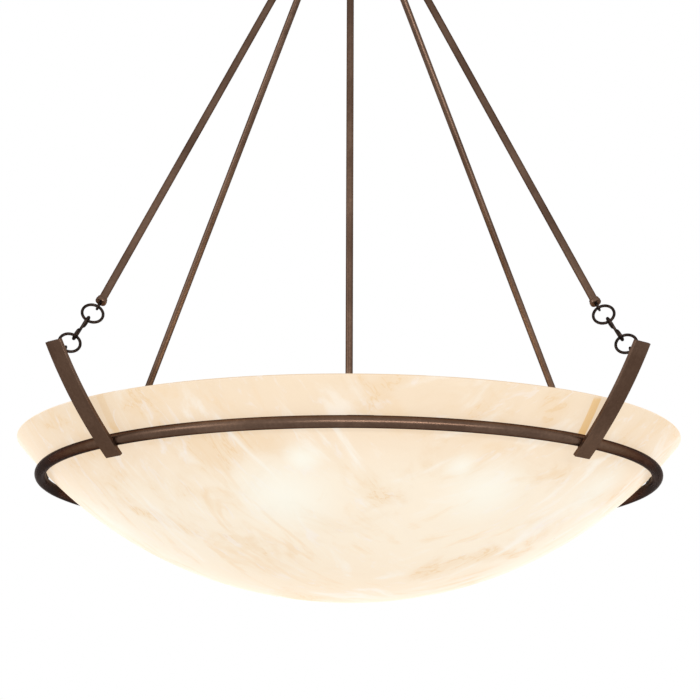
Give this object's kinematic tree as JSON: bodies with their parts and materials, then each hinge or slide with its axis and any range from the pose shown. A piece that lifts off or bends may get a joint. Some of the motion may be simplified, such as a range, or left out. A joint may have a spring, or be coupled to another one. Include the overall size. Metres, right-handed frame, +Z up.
{
  "type": "bowl pendant light",
  "caption": "Large pendant light: a shallow alabaster-look glass bowl in a tube ring with curved flat arms, hung by straight rods with rings and S hooks from a hub under a round canopy.",
  "frame": {"origin": "centre of the ceiling plate's top face, on the ceiling", "axes": "+Z up into the ceiling, -Y towards the viewer, rods at 45 degrees to X and Y"},
  "size_m": [1.218, 1.218, 1.527],
  "materials": {
    "bronze_finish": "satin dark bronze paint over steel pipe and bar",
    "dark_wire": "near-black satin finish on welded wire links",
    "zinc_steel": "plain zinc-plated steel, hidden under the canopy",
    "bowl_glass": "cream alabaster-look glass with soft amber clouds and veins, lit from inside",
    "bulb_glass": "frosted white glass with a plain screw base",
    "socket_ceramic": "glazed white lamp socket",
    "pad_rubber": "matte black pad"
  },
  "bodies": {
    "root": {"ceiling_plate": "zinc_steel", "upper_yoke": "zinc_steel", "upper_pins": "zinc_steel", "yoke_screws": "zinc_steel", "canopy_studs": "zinc_steel"},
    "gimbal": {"gimbal_ring": "zinc_steel"},
    "pendant": {"lower_yoke": "zinc_steel", "lower_pins": "zinc_steel", "upper_stem": "bronze_finish", "stem_nuts": "zinc_steel", "hub": "bronze_finish", "lower_stem": "bronze_finish", "cluster_body": "bronze_finish", "cluster_cover": "bronze_finish", "cluster_nut": "bronze_finish", "socket_arms": "bronze_finish", "socket_1": "socket_ceramic", "socket_2": "socket_ceramic", "socket_3": "socket_ceramic", "socket_4": "socket_ceramic", "socket_5": "socket_ceramic", "socket_6": "socket_ceramic"},
    "rod_front_left": {"rod_front_left": "bronze_finish", "rod_top_end_front_left": "bronze_finish", "rod_low_end_front_left": "bronze_finish", "chain_rings_front_left": "dark_wire", "s_hook_front_left": "dark_wire"},
    "rod_front_right": {"rod_front_right": "bronze_finish", "rod_top_end_front_right": "bronze_finish", "rod_low_end_front_right": "bronze_finish", "chain_rings_front_right": "dark_wire", "s_hook_front_right": "dark_wire"},
    "rod_back_right": {"rod_back_right": "bronze_finish", "rod_top_end_back_right": "bronze_finish", "rod_low_end_back_right": "bronze_finish", "chain_rings_back_right": "dark_wire", "s_hook_back_right": "dark_wire"},
    "rod_back_left": {"rod_back_left": "bronze_finish", "rod_top_end_back_left": "bronze_finish", "rod_low_end_back_left": "bronze_finish", "chain_rings_back_left": "dark_wire", "s_hook_back_left": "dark_wire"},
    "frame": {"support_ring": "bronze_finish", "bowl_pads": "pad_rubber", "arm_front_left": "bronze_finish", "arm_front_right": "bronze_finish", "arm_back_right": "bronze_finish", "arm_back_left": "bronze_finish"},
    "bowl": {"bowl": "bowl_glass"},
    "canopy": {"canopy": "bronze_finish", "cap_nuts": "bronze_finish"},
    "bulb_1": {"bulb_1": "bulb_glass"},
    "bulb_2": {"bulb_2": "bulb_glass"},
    "bulb_3": {"bulb_3": "bulb_glass"},
    "bulb_4": {"bulb_4": "bulb_glass"},
    "bulb_5": {"bulb_5": "bulb_glass"},
    "bulb_6": {"bulb_6": "bulb_glass"}
  },
  "joints": [
    {"name": "sway_x", "type": "hinge", "parent": "root", "child": "gimbal", "pos_m": [0, 0, -0.036], "axis": [1, 0, 0], "range_deg": [-6, 6]},
    {"name": "sway_y", "type": "hinge", "parent": "gimbal", "child": "pendant", "pos_m": [0, 0, -0.036], "axis": [0, 1, 0], "range_deg": [-6, 6]},
    {"name": "frame_twist", "type": "hinge", "parent": "pendant", "child": "frame", "pos_m": [0, 0, -1.24], "axis": [0, 0, 1], "range_deg": [-3, 3], "stiffness_Nm_per_rad": 8.7},
    {"name": "swing_front_left", "type": "hinge", "parent": "pendant", "child": "rod_front_left", "pos_m": [-0.03609, -0.03609, -0.16602], "axis": [-0.6063, -0.6063, 0.5147], "range_deg": [-1.75, 1.75]},
    {"name": "swing_front_right", "type": "hinge", "parent": "pendant", "child": "rod_front_right", "pos_m": [0.03609, -0.03609, -0.16602], "axis": [0.6063, -0.6063, 0.5147], "range_deg": [-1.75, 1.75]},
    {"name": "swing_back_right", "type": "hinge", "parent": "pendant", "child": "rod_back_right", "pos_m": [0.03609, 0.03609, -0.16602], "axis": [0.6063, 0.6063, 0.5147], "range_deg": [-1.75, 1.75]},
    {"name": "swing_back_left", "type": "hinge", "parent": "pendant", "child": "rod_back_left", "pos_m": [-0.03609, 0.03609, -0.16602], "axis": [-0.6063, 0.6063, 0.5147], "range_deg": [-1.75, 1.75]},
    {"name": "bowl_lift", "type": "slide", "parent": "frame", "child": "bowl", "axis": [0, 0, 1], "range_m": [0, 0.06]},
    {"name": "canopy_drop", "type": "slide", "parent": "root", "child": "canopy", "axis": [0, 0, -1], "range_m": [0, 0.035]},
    {"name": "bulb_turn_1", "type": "hinge", "parent": "pendant", "child": "bulb_1", "pos_m": [0.2, 0, -1.282], "axis": [1, 0, 0], "range_deg": [0, 1080]},
    {"name": "bulb_turn_2", "type": "hinge", "parent": "pendant", "child": "bulb_2", "pos_m": [0.1, 0.17321, -1.282], "axis": [0.5, 0.866, 0], "range_deg": [0, 1080]},
    {"name": "bulb_turn_3", "type": "hinge", "parent": "pendant", "child": "bulb_3", "pos_m": [-0.1, 0.17321, -1.282], "axis": [-0.5, 0.866, 0], "range_deg": [0, 1080]},
    {"name": "bulb_turn_4", "type": "hinge", "parent": "pendant", "child": "bulb_4", "pos_m": [-0.2, 0, -1.282], "axis": [-1, 0, 0], "range_deg": [0, 1080]},
    {"name": "bulb_turn_5", "type": "hinge", "parent": "pendant", "child": "bulb_5", "pos_m": [-0.1, -0.17321, -1.282], "axis": [-0.5, -0.866, 0], "range_deg": [0, 1080]},
    {"name": "bulb_turn_6", "type": "hinge", "parent": "pendant", "child": "bulb_6", "pos_m": [0.1, -0.17321, -1.282], "axis": [0.5, -0.866, 0], "range_deg": [0, 1080]}
  ],
  "couplings": [
    {"joint": "swing_front_left", "follows": "frame_twist", "ratio": 0.56935},
    {"joint": "swing_front_right", "follows": "frame_twist", "ratio": 0.56935},
    {"joint": "swing_back_right", "follows": "frame_twist", "ratio": 0.56935},
    {"joint": "swing_back_left", "follows": "frame_twist", "ratio": 0.56935}
  ]
}
